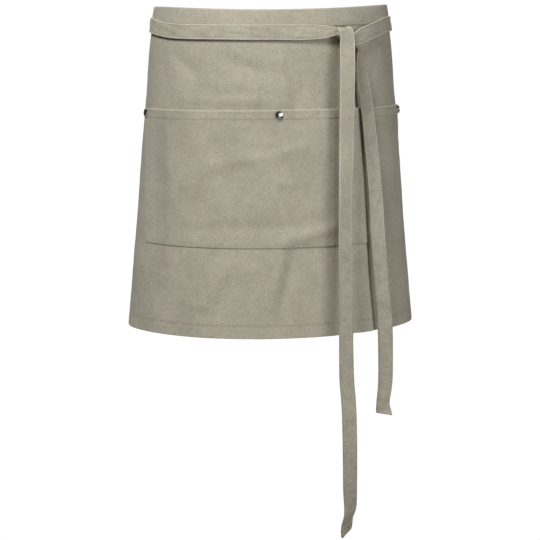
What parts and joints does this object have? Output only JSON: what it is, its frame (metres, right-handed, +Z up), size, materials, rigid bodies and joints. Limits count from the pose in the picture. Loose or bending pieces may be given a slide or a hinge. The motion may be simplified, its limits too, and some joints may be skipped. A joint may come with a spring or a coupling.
{
  "type": "waist apron",
  "caption": "Plain canvas waist apron in its worn form, with a folded waistband, a wide divided patch pocket, rivets, and flat ties wrapped round and half-knotted in front with hanging tails.",
  "frame": {"origin": "middle of the wearer's waist, level with the apron's top edge at the front", "axes": "+Z up, +X to the right as seen from the front, the front of the apron faces -Y"},
  "size_m": [0.417, 0.2845, 0.7462],
  "materials": {
    "canvas": "matte khaki cotton canvas",
    "canvas_tie": "matte khaki cotton strap, edge stitched",
    "nickel": "domed nickel-plated rivet"
  },
  "bodies": {
    "root": {"apron_panel": "canvas", "waistband": "canvas", "pocket": "canvas", "rivet_left": "nickel", "rivet_centre": "nickel", "rivet_right": "nickel", "tie_left": "canvas_tie", "tie_right": "canvas_tie"}
  },
  "joints": []
}
